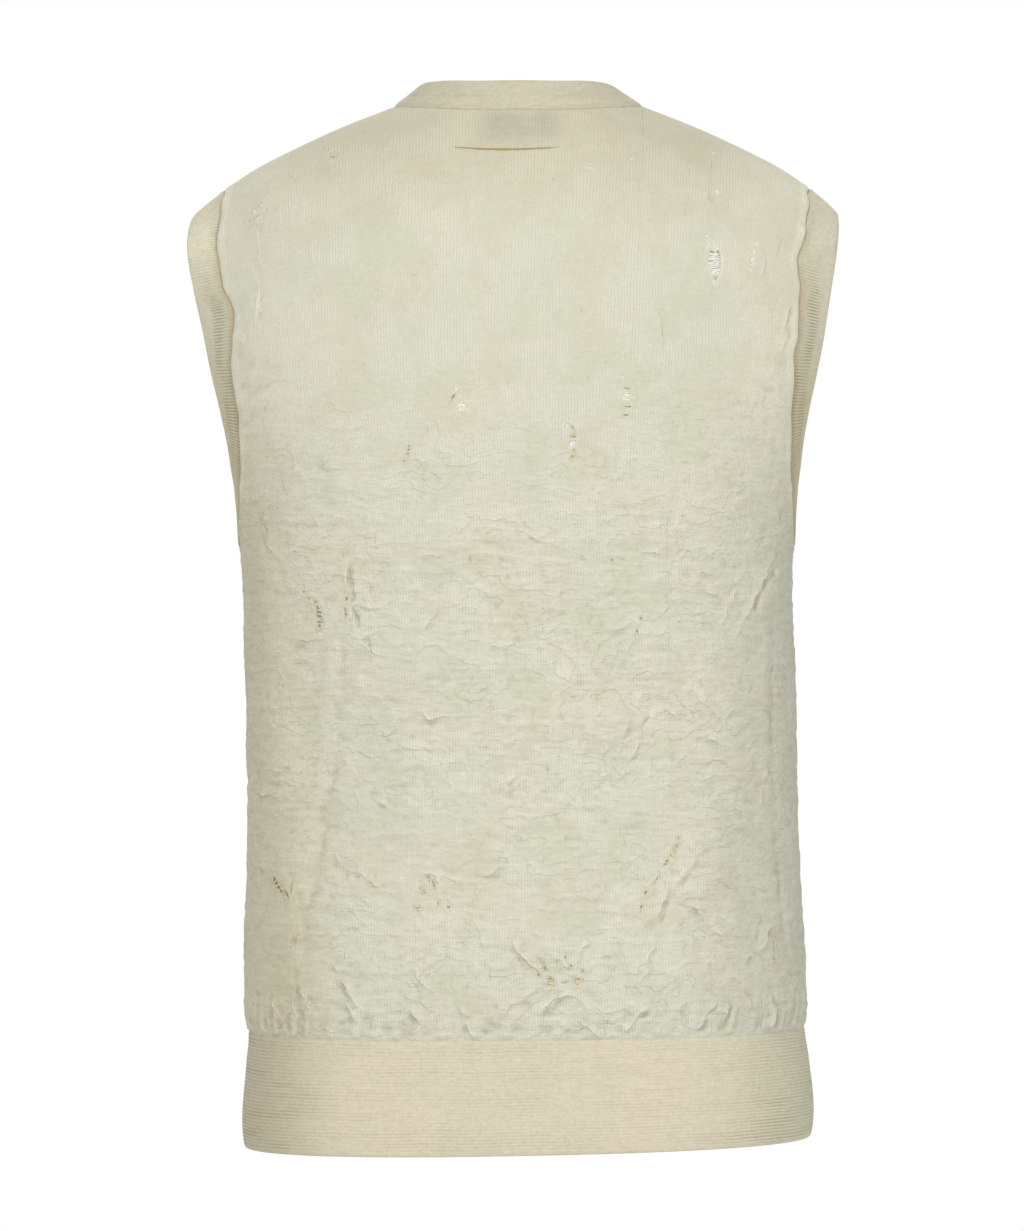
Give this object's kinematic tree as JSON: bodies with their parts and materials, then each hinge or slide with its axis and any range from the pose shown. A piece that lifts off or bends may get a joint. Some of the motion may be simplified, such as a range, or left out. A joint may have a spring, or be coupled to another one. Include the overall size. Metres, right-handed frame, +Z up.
{
  "type": "sweater vest",
  "caption": "Sleeveless knitted vest in worn, hollow shape, with ribbed hem, neckband and armhole bands, a V neck in front and rips in the back.",
  "frame": {"origin": "midway between the two high shoulder points, where the wearer's shoulders carry the vest", "axes": "+Z up along the wearer's back, +Y towards the wearer's back, -Y towards the V neck in front, +X towards the wearer's left"},
  "size_m": [0.4001, 0.2369, 0.6519],
  "materials": {
    "body_knit": "matte fine wool knit, cream, creased and slightly felted",
    "rib_knit": "matte fine rib knit, cream, a little warmer than the body"
  },
  "bodies": {
    "root": {"back_panel": "body_knit", "front_panel": "body_knit", "back_neck_tuck": "body_knit", "hem_band": "rib_knit", "neck_band": "rib_knit", "armhole_band_left": "rib_knit", "armhole_band_right": "rib_knit"}
  },
  "joints": []
}
